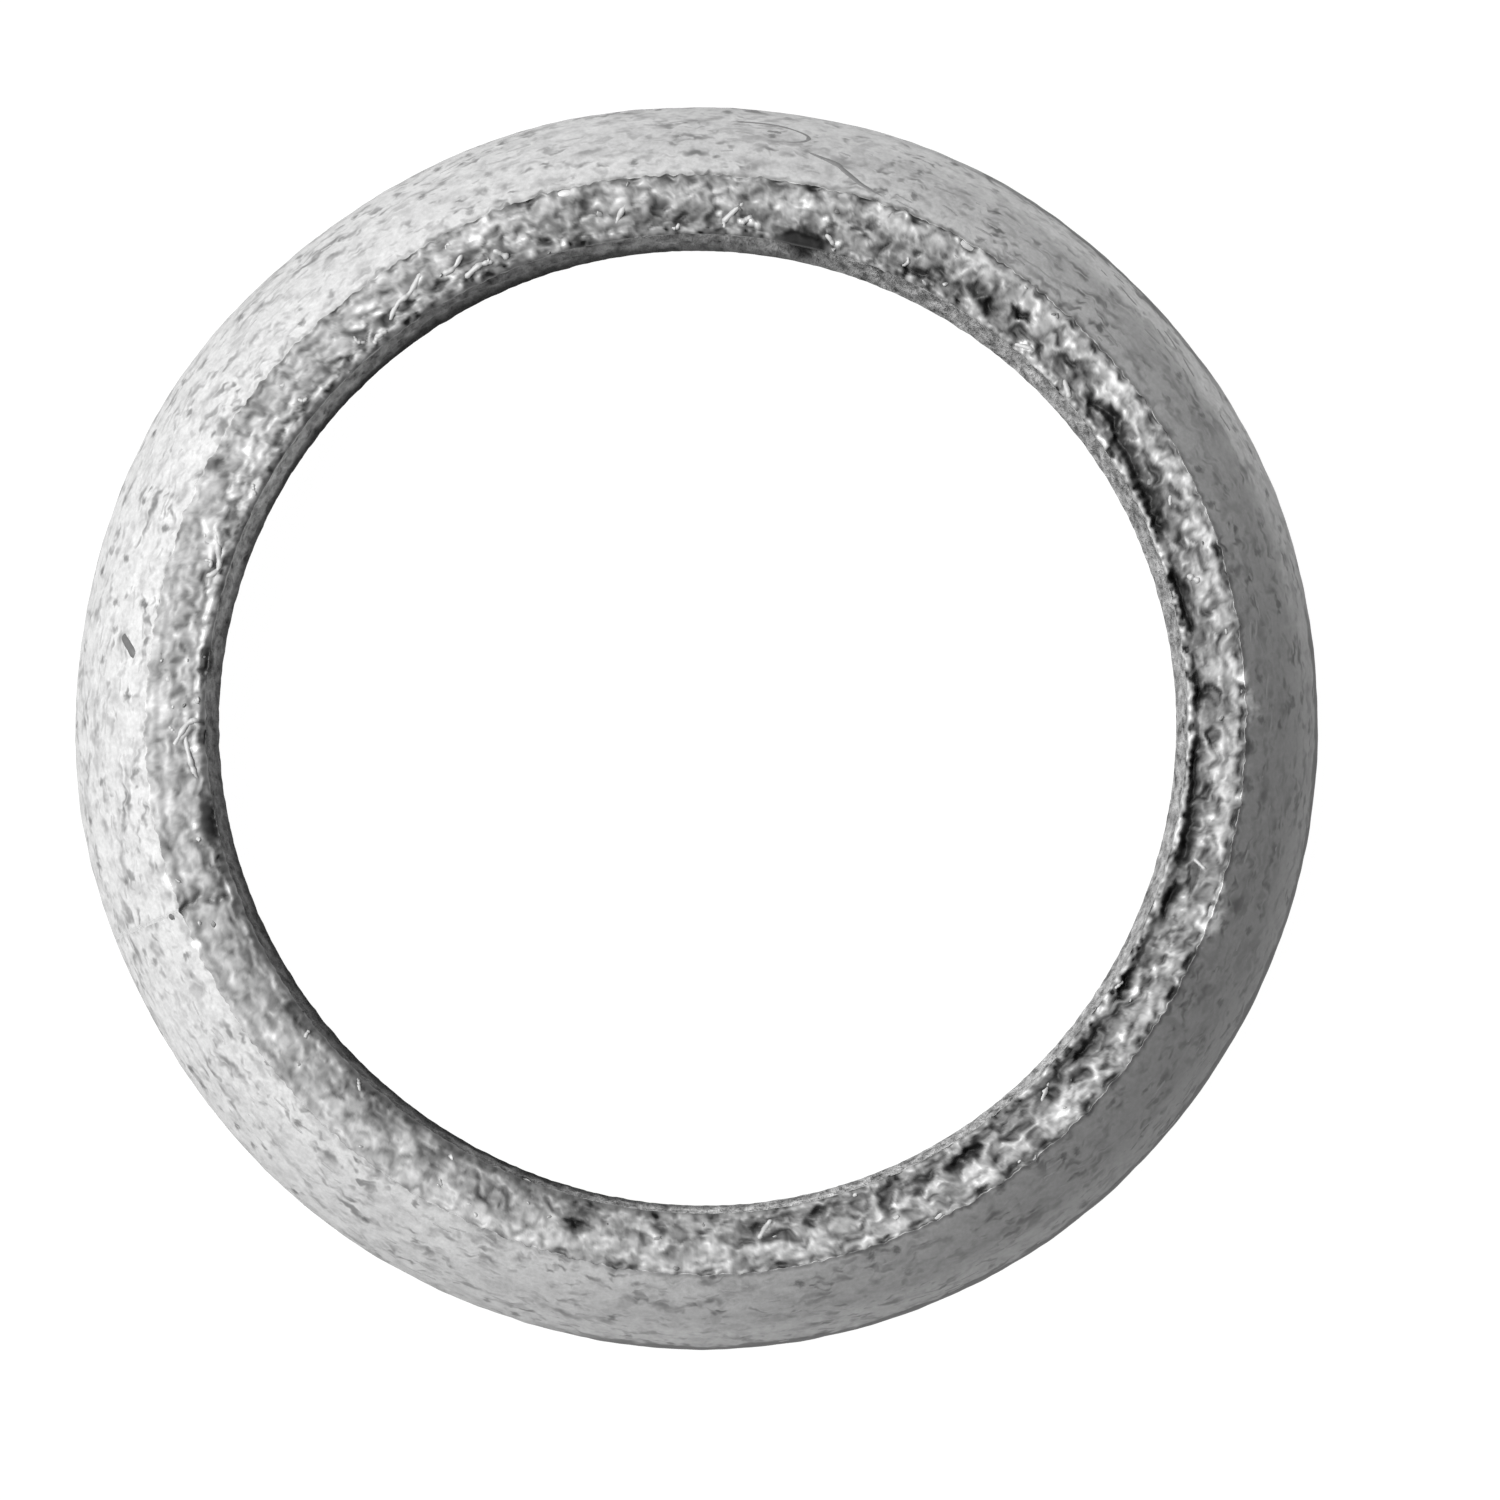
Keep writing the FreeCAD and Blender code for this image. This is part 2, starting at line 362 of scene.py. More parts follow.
    # bore wall, from the base upwards
    boreTop = top - ring["wallDrop"]
    for height in np.linspace(boreRound, boreTop - 2.0, 11):
        u = coarse * landMiddle
        v = u * 0 + height
        lumps = 0.08 * boreBump(u, v * 0.2) + 0.05 * boreGrain(u, v * 0.15)
        wave = 0.03 * dent(u, v) + lumps * smooth(-1.0, 2.5, v)
        # painted shade on the bore's wall: its tone round the ring, darker lower down, near black in the torn
        # notch and darker below the crevices
        shade = bare[::2] * np.clip(1 - gloom[::2] * smooth(*ring["gloomSpan"], v), 0.02, 1)
        drop = 0.2 * (boreTop - height)
        notch = notchShare(coarse, drop) * smooth(0.8, 4.0, v + 3 * boreRipple(u * 0.8, 0))
        below = creviceSink(coarse) / crumple["creviceDepth"]
        below = below * np.clip(0.7 + 1.1 * boreBump(u, v * 0.3), 0, 1)
        shade = shade * (1 - 0.97 * notch) * (1 - below * smooth(7, 13, v))
        radius = boreRadius + 0.06 + boreShift(coarse) + wave + 0.3 * notch
        addRow(coarse, radius, height, tone=shade, zone=1)

    # lip, crevice and crumpled land, from the bore outwards
    edge = edgeRadius(fine)
    bore = boreRadius + boreShift(fine)
    u = fine * landMiddle
    for height in (boreTop - 0.2, boreTop - 0.02):
        lumps = 0.06 * boreBump(u, height * 0.2) + 0.05 * boreGrain(u, height * 0.15)
        notch = notchShare(fine)
        # painted shade: near black in the torn notch and darker below the crevices
        shade = bare * (1 - np.maximum(0.97 * notch, creviceSink(fine)))
        addRow(fine, bore + lumps + 0.25 * notch, height - 1.4 * rollAway, tone=shade, pit=notch, zone=1)
    steps = np.concatenate([np.linspace(*span) for span in crumple["steps"]])
    roll = rollAway * np.clip(1 + 0.8 * creviceWave(u + 5, 0), 0.3, 1.5)
    # the painted shade of the crease along the land's edge: where it is thin and where broad
    wave, bite = grooveWave(u + 7, 0), edgeBite(u + 2, 0)
    edgeShade = np.clip(0.75 + 0.8 * wave + 0.5 * bite, 0, 1) * landGroove
    broad = np.clip(2.2 * wave + 0.6 * bite, 0, 1) * landGroove
    for step in steps:
        v = u * 0 + step
        radius = bore + (edge - bore) * step / ring["landWidth"]
        wu, wv = u + crumple["warp"] * warpU(u, v), v + crumple["warp"] * warpV(u, v)
        folds = 0.02 * fineGrain(u, v)
        for swellField, (size, fold) in zip(swellFields, crumple["swells"]):
            folds = folds + fold * swellField(wu, wv)
        folds = folds + crumple["ridge"][1] * (0.5 - 2 * np.abs(ridgeField(wu, wv)))
        hollow = smooth(0.1, 0.6, hollowField(wu, wv)) * profile("hollows", step)
        flake = flakes(wu, wv)[0]
        chip, crack = chips(wu * 0.8, wv)
        tilt = tilted(flake, crumple["flakeTilt"]) + tilted(chip, crumple["chipTilt"])
        folds = folds + tilt + 0.03 * flake[..., 0] + 0.02 * chip[..., 0] - crumple["hollows"][1] * hollow
        rings, near = swirlFolds(fine, step + 0.35 * warpV(u, v))
        folds = folds * landFolds * (1 - 0.6 * near) + 0.1 * rings
        onLand = smooth(crumple["lipWidth"], 0.6, v)
        share = profile("folds", step)
        dish = profile("dish", step) * (1 - 0.52 * landEven)
        lip = 0.08 * lipGrain(u, v) + 0.04 * fineGrain(u, v) - 0.3 * smooth(0.2, 0.6, lipGaps(u, 0))
        height = top + dish + folds * onLand * share + lip * (1 - onLand)
        sway = 0.22 * creviceWave(u, 0) + 0.12 * edgeBite(u, 0)
        swell = 1 + 0.5 * creviceBreak(u, 0) + 0.3 * edgeBite(u + 9, 0)
        sink = creviceSink(fine, step, sway, swell)
        grooveDepth = np.clip(0.1 + 0.9 * grooveWave(u, 0), 0, 1) * landGroove
        groove = smooth(2.7, 2.92, v) * smooth(3.14, 3.0, v) * grooveDepth * 0.8
        wrap = 0.36 * wrapStep(fine, step) * onLand * np.clip(1 + 0.6 * edgeBite(u, v), 0.3, 1.4)
        rolled = roll * np.clip(1 - v / (crumple["rollWidth"] - 0.3 * landEven), 0, 1) ** 2
        flush = (1 - landGroove) * 0.17 * smooth(2.3, 3.05, v)
        patch, patchTone = paleLumps(fine, step)
        height = height - sink - groove - wrap - rolled + flush + 0.1 * patch
        # painted shade: rim is the edge crease's, and pit adds shade in the hollows, crevices, edge groove,
        # the wrap's step, the rolled-down inner part and the low folds
        rim = np.maximum(smooth(2.85, 3.05, v) * edgeShade * 0.9, smooth(2.6, 2.95, v) * broad * 0.8)
        low = (smooth(0.04, -0.16, folds) * 0.5 + smooth(0.07, 0.01, crack) * 0.08 * landFolds) * onLand
        pit = hollow * 0.5 * onLand * landPits + sink * 0.8 + groove * 1.6
        pit = pit + wrap * 1.2 + 0.45 * rolled + rim + low
        pit = np.clip(pit + 0.35 * sink, 0, 1) * (1 - patch)
        # tone rises with the folds' height, a painted shade in the low folds; glint paints highlights on fold
        # crests; the clusters and the darker band near the bore are painted shade
        mixed = 0.5 * toneWide(u, v) + 0.5 * toneFine(wu, wv) + 0.16 * fineGrain(wu, wv) + 1.1 * folds
        mixed = (mixed + 0.06 * flake[..., 3] + 0.08 * chip[..., 3]) * profile("mixed", step)
        glint = smooth(0.4, 0.65, glintField(u, v)) * smooth(-0.05, 0.05, folds) * crumple["glint"]
        glint = glint * landFolds * profile("glints", step)
        cluster = smooth(0.06, 0.42, clusterField(u, v)) * profile("clusters", step) * landPits
        inward = profile("tone", v + 0.5 * toneWide(u + 9, v))
        inward = inward + (1 - inward) * landEven
        brightest = 0.8 + 0.25 * landFolds
        tone = (np.clip(0.54 + (0.35 + 1.0 * landFolds) * mixed, 0, brightest) * inward + glint) * landTone
        tone = tone * (1 - cluster)
        tone = tone + (patchTone + 0.5 * fineGrain(u, v) - tone) * patch
        if step < 0.32:
            tone = tone + 0.5 * lipGrain(u, v) * landFolds
        # painted light and shade of the lip round the ring
        tone = tone * (1 + (lipTone - 1) * smooth(0.5, 0.3, v))
        # the torn notch is painted near black, as the shade in its hole
        torn = notchShare(fine) * smooth(0.75, 0.45, v + 0.25 * edgeBite(u, v))
        tone, pit = tone * (1 - 0.95 * torn), np.maximum(pit, crumple["notchDark"] * torn)
        if step < 0.04:
            height = np.minimum(height, top - 0.42) - 0.25 * rollAway
        addRow(fine, radius, np.minimum(height, top - 0.02), tone=tone, pit=pit, zone=2)

    # seat, from the land's edge down to the wall
    topTurn = np.arccos((edge - outerShift(fine)) / seatRadius)
    inner = outerRadius - wallRound
    reach = seatRadius - wallRound
    roundHeight = seatCentre + math.sqrt(reach ** 2 - inner ** 2)
    seatTurn = math.atan2(roundHeight - seatCentre, inner)
    for share in (0, 0.004, 0.018, 0.04, 0.065, 0.095, *np.linspace(0.15, 0.9, 8)):
        near = share < 0.1
        every = 1 if near else 2
        # seatTone paints the seat's light and shade round the ring
        azimuth, start, level = fine[::every], topTurn[::every], 0.5 * seatTone[::every]
        # dark: the edge crease's painted shade, carried a little way onto the seat
        dark = 0
        if near:
            fade = np.interp(share, [0.004, 0.018, 0.04], [1, 0.8, 0])
            dark = np.maximum(edgeShade * fade, broad * (share < 0.02))
        turn = start + (seatTurn - start) * share
        down = (start - turn).mean() * seatRadius
        patch, patchTone = paleLumps(azimuth, ring["landWidth"] + 0.87 * down)
        level = level + (1.1 * patchTone - level) * patch
        # rimTone paints a lighter band near the rim, stronger on some sides
        if not near:
            level = level * (1 + rimTone[::2] * smooth(0.5, 0.72, share))
        dark = dark * (1 - patch)
        radius = seatRadius * np.cos(turn) + outerShift(azimuth)
        height = seatCentre + seatRadius * np.sin(turn)
        press = 0.03 * dent(azimuth * landMiddle, azimuth * 0 + height) * smooth(0, 0.1, share)
        height = np.minimum(height + 0.06 * patch, top - 0.03)
        addRow(azimuth, radius + press, height, tone=level, pit=dark)
    for turn in np.linspace(seatTurn, 0, 4):
        radius = inner + wallRound * math.cos(turn)
        height = roundHeight + wallRound * math.sin(turn)
        addRow(coarse, radius + outerShift(coarse) + rimRough(height), height, tone=level)
    for height in np.linspace(roundHeight, rimRound, 4)[1:]:
        addRow(coarse, outerRadius + outerShift(coarse) + rimRough(height), height)
    for turn in np.linspace(0, math.pi / 2, 5)[1:]:
        radius = outerRadius - rimRound * (1 - math.cos(turn))
        addRow(coarse, radius + outerShift(coarse), rimRound * (1 - math.sin(turn)))
    rimEnd, boreEnd = outerRadius - rimRound, boreRadius + boreRound
    for radius in np.linspace(rimEnd, boreEnd, 4)[1:]:
        addRow(coarse, radius, 0.0)
    for turn in np.linspace(math.pi / 2, 0, 4)[1:-1]:
        radius = boreRadius + boreRound * (1 - math.cos(turn))
        # painted shade on the bore's lower rounding
        shade = bare[::2] * np.clip(1 - gloom[::2], 0.02, 1) * 0.7
        height = boreRound * (1 - math.sin(turn))
        addRow(coarse, radius + boreShift(coarse), height, tone=shade, zone=1)
    return rows


def ringToMesh(rows, name):
    azimuths, radii, heights, tones, pits, zonesOfRows = zip(*rows)
    counts = [len(azimuth) for azimuth in azimuths]
    starts = [0, *np.cumsum(counts).tolist()]
    middle = np.array([[radius.mean(), height.mean()] for radius, height in zip(radii, heights)])
    sectionLength = np.concatenate([[0], np.cumsum(np.linalg.norm(np.diff(middle, axis=0), axis=1))])
    azimuth, radius, height = [np.concatenate(values) for values in (azimuths, radii, heights)]
    around = (azimuth - math.radians(crumple["wrapEnd"])) % (2 * math.pi) * seatMiddle
    wrap = np.stack([around, np.repeat(sectionLength, counts), 0 * azimuth], axis=-1)
    faces, zones = [], []
    for index in range(len(rows)):
        following = (index + 1) % len(rows)
        a, b, na, nb = starts[index], starts[following], counts[index], counts[following]
        zone = zonesOfRows[following]
        if na == nb:
            i = np.arange(na)
            k = (i + 1) % na
            quads = np.stack([a + i, a + k, b + k, b + i], axis=-1)
            faces.extend(quads.tolist())
            zones.extend([zone] * na)
        else:
            coarseStart, fineStart, columns = (a, b, na) if na < nb else (b, a, nb)
            for i in range(columns):
                k = (i + 1) % columns
                f0, f1, f2 = fineStart + 2 * i, fineStart + 2 * i + 1, fineStart + (2 * i + 2) % (2 * columns)
                c0, c1 = coarseStart + i, coarseStart + k
                made = [(c0, f1, f0), (c0, c1, f1), (c1, f2, f1)]
                if na > nb:
                    made = [tuple(reversed(face)) for face in made]
                faces.extend(made)
                zones.extend([zone] * 3)
    mesh = newMesh(name, polar(azimuth, radius, height) * mm, faces)
    mesh.polygons.foreach_set("material_index", zones)
    for label, values in (("tone", tones), ("pit", pits)):
        layer = mesh.attributes.new(label, "FLOAT", "POINT")
        layer.data.foreach_set("value", np.concatenate(values).astype(np.float32))
    layer = mesh.attributes.new("wrap", "FLOAT_VECTOR", "POINT")
    layer.data.foreach_set("vector", wrap.astype(np.float32).ravel())
    return mesh


def feed(node, inputs):
    # values or links into a node's sockets
    for key, value in inputs.items():
        if isinstance(value, Shade):
            value.tree.links.new(value.socket, node.inputs[key])
        else:
            node.inputs[key].default_value = value


class Shade:
    # a value in a material: one output socket, with arithmetic that adds nodes
    def __init__(self, tree, socket):
        self.tree = tree
        self.socket = socket

    def node(self, kind, settings, inputs, output=0):
        made = self.tree.nodes.new(kind)
        for name, value in settings.items():
            setattr(made, name, value)
        feed(made, inputs)
        return Shade(self.tree, made.outputs[output])

    def combine(self, operation, *others):
        return self.node("ShaderNodeMath", {"operation": operation}, dict(enumerate((self, *others))))

    def __add__(self, other):
        return self.combine("ADD", other)

    def __sub__(self, other):
        return self.combine("SUBTRACT", other)

    def __rsub__(self, other):
        return self.node("ShaderNodeMath", {"operation": "SUBTRACT"}, {0: other, 1: self})

    def __mul__(self, other):
        return self.combine("MULTIPLY", other)

    __radd__ = __add__
    __rmul__ = __mul__

    def between(self, low, high):
        # 0 at low, 1 at high, smooth in the middle
        settings = {"interpolation_type": "SMOOTHSTEP"}
        return self.node("ShaderNodeMapRange", settings, {"Value": self, "From Min": low, "From Max": high})

    def noise(self, scale, detail=2.0, rough=0.5, output=0):
        inputs = {"Vector": self, "Scale": scale, "Detail": detail, "Roughness": rough}
        return self.node("ShaderNodeTexNoise", {"noise_dimensions": "3D"}, inputs, output)

    def vector(self, operation, other, index=1):
        return self.node("ShaderNodeVectorMath", {"operation": operation}, {0: self, index: other})

    def sway(self, scale, size):
        # a noise with a direction
        return self.noise(scale, output="Color").vector("SCALE", size, 3)

    def moved(self, shift):
        return self.vector("ADD", shift)

    def stretched(self, shares):
        return self.vector("MULTIPLY", shares)

    def axis(self, name):
        return self.node("ShaderNodeSeparateXYZ", {}, {"Vector": self}, name)

    def cells(self, scale, output="Distance"):
        settings = {"feature": "F1", "voronoi_dimensions": "2D"}
        return self.node("ShaderNodeTexVoronoi", settings, {"Vector": self, "Scale": scale}, output)

    def grey(self):
        return self.node("ShaderNodeCombineColor", {}, {0: self, 1: self, 2: self})


def newMaterial(name):
    material = bpy.data.materials.new(name)
    material.use_nodes = True
    tree = material.node_tree
    place = Shade(tree, tree.nodes.new("ShaderNodeTexCoord").outputs["Object"])
    return material, tree.nodes["Principled BSDF"], place


def attribute(place, name, output="Fac"):
    return place.node("ShaderNodeAttribute", {"attribute_name": name}, {}, output)


def connect(shader, colour, roughness, metallic, height, strength, distance, specular=0.5):
    bump = {"Strength": strength, "Distance": distance, "Height": height}
    feed(shader, {
        "Base Color": colour.grey(),
        "Roughness": roughness,
        "Metallic": metallic,
        "Specular IOR Level": specular,
        "Normal": height.node("ShaderNodeBump", {}, bump),
    })


filler = {
    "level": 0.235,
    "cloud": 0.03,
    "mottle": 0.016,
    "grit": 0.045,
    "flatten": 0.5,
    "grain": 0.05,
    "pitDark": 0.62,
    "markDark": 0.68,
    "loopShare": 0.35,
    "dashSway": 1.0,
    "markShaded": 0.12,       # added on the side away from the light
    "markSize": 0.62,         # marks for each mm down the seat
    "markStretch": 0.75,
    "seamDark": 0.4,
    # how dark the painted shade on the band low on the rim is, and where it lies
    "rimDark": 0.86,
    "wallTop": 5.3,
    "soilLean": 0.35,
    "soilFrom": -1.0,
    "soilTo": 10.0,
    "soilBreak": 0.85,
    "roughness": 0.5,
    "specular": 0.25,
    "bump": 0.00006,
}
boreFinish = {"level": 0.2, "cloud": 0.6, "grain": 0.3, "roughness": 0.8, "specular": 0.03, "bump": 0.0004}
# pitDark: how far the pit attribute's painted shade darkens the land
landFinish = {
    "darkest": 0.021, "tone": 0.195, "patches": 0.06, "grain": 0.04, "pitDark": 0.83,
    "roughness": 0.58, "smoother": 0.14, "metallic": 0.12, "specular": 0.18, "bump": 0.00006,
}


def rubMarks(wrap, loopScale, breakScale, shift):
    # curved strokes where covered wire rubs through: pieces of a noise's contour lines
    moved = wrap.moved((0, 0, shift))
    line = 1 - (moved.noise(loopScale, 0.3) - 0.5).combine("ABSOLUTE").between(0.01, 0.14)
    return line * moved.noise(breakScale, 0.5).between(0.57, 0.68)


def dashes(wrap, scale, stretch, shift):
    # short soft strokes that bend a little
    moved = wrap.moved(wrap.sway(0.9, filler["dashSway"])).stretched((1 / stretch, 1, 1)).moved((0, 0, shift))
    return moved.noise(scale, 1.5).between(0.52, 0.74)


def fillerMaterial():
    material, shader, place = newMaterial("pressedFiller")
    wrap = attribute(place, "wrap", "Vector")
    # the steep seat is seen from above, so its marks run far down it to look round
    flat = wrap.stretched((1, filler["flatten"], 1))
    long = wrap.stretched((filler["markStretch"], 0.8, 1))
    axes = {name: place.axis(name) for name in "XYZ"}
    cloud = wrap.noise(0.5, 3)
    grain = place.noise(2500, 3, 0.6)
    size = filler["markSize"]
    ragged = flat.moved(wrap.sway(3.0, 0.5))
    pits = (1 - ragged.cells(0.5).between(0.03, 0.17)) * ragged.cells(0.5, "Color").between(0.44, 0.66)
    loops = rubMarks(flat, size * 1.2, size * 1.6, 15.0)
    loops = rubMarks(long, size, size * 1.3, 4.0).combine("MAXIMUM", loops)
    strokes = dashes(flat, 1.5, 3.0, 3.0).combine("MAXIMUM", dashes(flat, 2.3, 2.4, 21.0))
    marks = (loops * filler["loopShare"]).combine("MAXIMUM", strokes)
    mottle = flat.noise(1.1, 2).between(0.3, 0.7)
    grit = flat.noise(4.5, 2)
    colour = filler["level"] + filler["cloud"] * (cloud - 0.5) * 2 + filler["grain"] * (grain - 0.5) * 2
    colour = colour + filler["mottle"] * (mottle - 0.5) * 2 + filler["grit"] * (grit - 0.5) * 2
    patchy = wrap.noise(0.3, 2).between(0.35, 0.65) * 0.6 + 0.4
    shaded = filler["markShaded"] * axes["X"].between(-20 * mm, 25 * mm)
    marked = marks * patchy * (filler["markDark"] + shaded)
    # tone carries the seat's painted light and shade
    colour = colour * 2 * attribute(place, "tone") * (1 - pits * filler["pitDark"]) * (1 - marked)
    lowest = axes["Z"] - (wrap.noise(0.8, 2) - 0.5) * 2.4 * mm
    around = wrap.axis("X") + (wrap.noise(0.7, 2) - 0.5) * 0.8
    seam = around.between(-0.4, 0.0) * (1 - around.between(0.0, 0.55)) * wrap.noise(1.6, 2).between(0.42, 0.6)
    colour = colour * (1 - filler["seamDark"] * seam)
    wall = 1 - lowest.between((filler["wallTop"] - 0.4) * mm, (filler["wallTop"] + 0.3) * mm)
    # painted shade on the band low on the rim, on the lower right away from the light, with a break on the
    # right
    lean = axes["X"] - filler["soilLean"] * axes["Y"]
    rimShade = 0.06 + 0.94 * lean.between(filler["soilFrom"] * mm, filler["soilTo"] * mm)
    unshaded = filler["soilBreak"] * axes["Y"].between(4 * mm, 8 * mm)
    rimShade = rimShade * (1 - unshaded * (1 - axes["Y"].between(14 * mm, 22 * mm)))
    # painted shade on the low rim band, and the pit attribute's painted shade of the edge crease
    colour = colour * (1 - wall * rimShade * filler["rimDark"]) * (1 - 0.75 * attribute(place, "pit"))
    roughness = filler["roughness"] + 0.1 * (grain - 0.5)
    relief = 0.3 * grain + 0.6 * cloud - pits - 0.5 * marks
    connect(shader, colour, roughness, 0.0, relief, 0.25, filler["bump"], filler["specular"])
    return material


def boreMaterial():
    material, shader, place = newMaterial("boreMesh")
    # the tone attribute holds the bore wall's painted light and shade
    bare = attribute(place, "tone")
    # tall cells, since the wall is only seen from high above
    tall = place.stretched((1, 1, 0.14))
    grain = tall.noise(3600, 3, 0.65)
    cloud = tall.noise(1500, 2)
    finish = boreFinish
    colour = finish["level"] + finish["cloud"] * (cloud - 0.5) + finish["grain"] * (grain - 0.5)
    colour = colour.combine("MAXIMUM", 0.01) * bare
    relief = grain * 0.6 + cloud
    connect(shader, colour, finish["roughness"], 0.0, relief, 1.0, finish["bump"], finish["specular"])
    return material


def crumpleMaterial():
    material, shader, place = newMaterial("crumpledMesh")
    tone, pit = attribute(place, "tone"), attribute(place, "pit")
    grain = place.noise(3200, 3, 0.65)
    patches = place.noise(1100, 2)
    finish = landFinish
    level = finish["darkest"] + finish["tone"] * tone
    level = level + finish["patches"] * (patches - 0.5) + finish["grain"] * (grain - 0.5)
    # pit darkens with painted shade: hollows, crevices, the edge crease and the torn notch
    colour = level * (1 - finish["pitDark"] * pit)
    roughness = finish["roughness"] - finish["smoother"] * tone + 0.1 * (grain - 0.5)
    relief = grain * 0.25 + patches
    metallic = finish["metallic"] * tone
    connect(shader, colour, roughness, metallic, relief, 0.35, finish["bump"], finish["specular"])
    return material


rows = buildRingMesh()
ringPiece = addObject("pressed_ring", ringToMesh(rows, "pressed_ring"))
for material in (fillerMaterial(), boreMaterial(), crumpleMaterial()):
    ringPiece.data.materials.append(material)
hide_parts("gasket_ring")
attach(ringPiece, "root")
print("ring built,", len(ringPiece.data.polygons), "faces")


knit = {
    "seed": 21,
    "wireRadius": 0.45,
    "stitch": 2.5,
    "course": 1.25,
    "loopSwing": 0.62,
    "loopHeight": 0.8,
    "jitter": 0.35,
    "keep": 0.35,
    "lengths": (0.5, 1.5),
    "proud": 0.016,
    "sunk": 0.13,
    "sides": 14,
    "segments": 9,
    "arc": 11.4,              # mm down from the land's edge that wires cover
    "finish": (0.175, 0.5, 0.0),
}


def tubeArrays(path, across, outward, radius, sides):
    # one tube: path is a row of points, across and outward the directions its round section spans
    turns = np.arange(sides) * (2 * math.pi / sides)
    aside = across[:, None, :] * np.cos(turns)[None, :, None]
    circle = aside + outward[:, None, :] * np.sin(turns)[None, :, None]
    points = path[:, None, :] + circle * radius
    faces = []
    for i in range(len(path) - 1):
        for k in range(sides):
            n = (k + 1) % sides
            faces.append((i * sides + k, i * sides + n, (i + 1) * sides + n, (i + 1) * sides + k))
    faces.append(tuple(reversed(range(sides))))
    faces.append(tuple((len(path) - 1) * sides + k for k in range(sides)))
    return points.reshape(-1, 3), faces


def seatPlace(azimuth, arcDown):
    # point and outward normal on the seat, arcDown mm below the land's edge
    topTurn = math.acos(landRadius / seatRadius)
    turn = topTurn - arcDown / seatRadius
    radius = seatRadius * np.cos(turn) + outerShift(azimuth)
    height = seatCentre + seatRadius * np.sin(turn)
    return polar(azimuth, radius, height), polar(azimuth, np.cos(turn), np.sin(turn))


def alongPath(point):
    return unit(np.gradient(point, axis=0))


def sideways(point, normal):
    return unit(np.cross(alongPath(point), normal))


def gather(parts):
    # several point and face lists as one
    points, faces, count = [], [], 0
    for partPoints, partFaces in parts:
        points.append(partPoints)
        faces.extend([tuple(index + count for index in face) for face in partFaces])
        count += len(partPoints)
    return np.concatenate(points) * mm, faces


def knitCrowns():
    # the parts of the knitted loops that show through the filler
    source = np.random.default_rng(knit["seed"])
    stitches = round(2 * math.pi * seatMiddle / knit["stitch"])
    parts = []
    for course in range(int(knit["arc"] / knit["course"]) + 1):
        for stitch in range(stitches):
            for half in (0, 1):
                draws = source.uniform(-1, 1, 8)
                if source.random() > knit["keep"]:
                    continue
                length = np.interp(source.random(), [0, 1], knit["lengths"])
                middle = math.pi * half + 0.5 * draws[0]
                t = np.linspace(middle - length, middle + length, knit["segments"])
                u = t / (2 * math.pi) * knit["stitch"] + knit["loopSwing"] * np.sin(2 * t)
                v = -knit["loopHeight"] * np.cos(t)
                tilt = 0.5 * draws[1]
                u, v = u * math.cos(tilt) - v * math.sin(tilt), u * math.sin(tilt) + v * math.cos(tilt)
                u = u + (stitch + knit["jitter"] * draws[2] + 0.5 * (course % 2)) * knit["stitch"]
                v = v + (course + knit["jitter"] * draws[3]) * knit["course"]
                if v.min() < 0.35 or v.max() > knit["arc"]:
                    continue
                point, normal = seatPlace(u / seatMiddle, v)
                across = np.cross(alongPath(point), normal)
                level = np.linspace(-1, 1, knit["segments"])
                top = knit["proud"] * (0.6 + 0.4 * draws[4]) - knit["sunk"] * np.abs(level) ** 2.5
                path = point + normal * (top - knit["wireRadius"])[:, None]
                parts.append(tubeArrays(path, across, normal, knit["wireRadius"], knit["sides"]))
    return gather(parts)


def wireMaterial(name, level, roughness, metallic):
    material, shader, place = newMaterial(name)
    grain = place.noise(2500, 2)
    colour = level * (0.8 + 0.4 * grain)
    connect(shader, colour, roughness, metallic, grain, 0.3, 0.00003)
    return material


def addPiece(name, points, faces, material):
    piece = addObject(name, newMesh(name, points, faces))
    piece.data.materials.append(material)
    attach(piece, "root")
    print(name, len(faces), "faces")


addPiece("seat_wires", *knitCrowns(), wireMaterial("coveredWire", *knit["finish"]))

seatScars = {
    "seed": 4,
    "sides": 24,
    # paths of azimuth and mm below the land's edge: a long crease, the marks beside it and a gouge
    "paths": [
        [(80.6, 4.9), (79.0, 4.3), (77.0, 3.7), (76.0, 3.4), (74.6, 2.5), (72.9, 1.6), (70.7, 1.0),
         (68.6, 0.4)],
        [(77.3, 3.8), (76.3, 3.5), (75.4, 3.1)],
        [(88.5, 7.6), (86.0, 8.2), (82.5, 8.1), (80.2, 7.4), (79.2, 6.5), (80.0, 5.6), (82.5, 5.2),
         (86.0, 5.3)],
        [(83.4, 6.7), (82.6, 6.8), (81.8, 6.6)],
        [(173.2, 1.9), (172.3, 2.75), (171.4, 3.7)],
        [(200.5, 1.0), (200.3, 1.3), (200.2, 1.6)],
    ],
    "radii": [0.7, 0.7, 1.0, 0.8, 0.3, 0.3],
    "proud": [0.009, 0.03, 0.012, 0.02, 0.11, 0.05],
    "gouges": 2,              # the last ones, darker than the rest
    "levels": (0.1, 0.042),   # of the creases and of the gouges
    "roughness": 0.7,
}


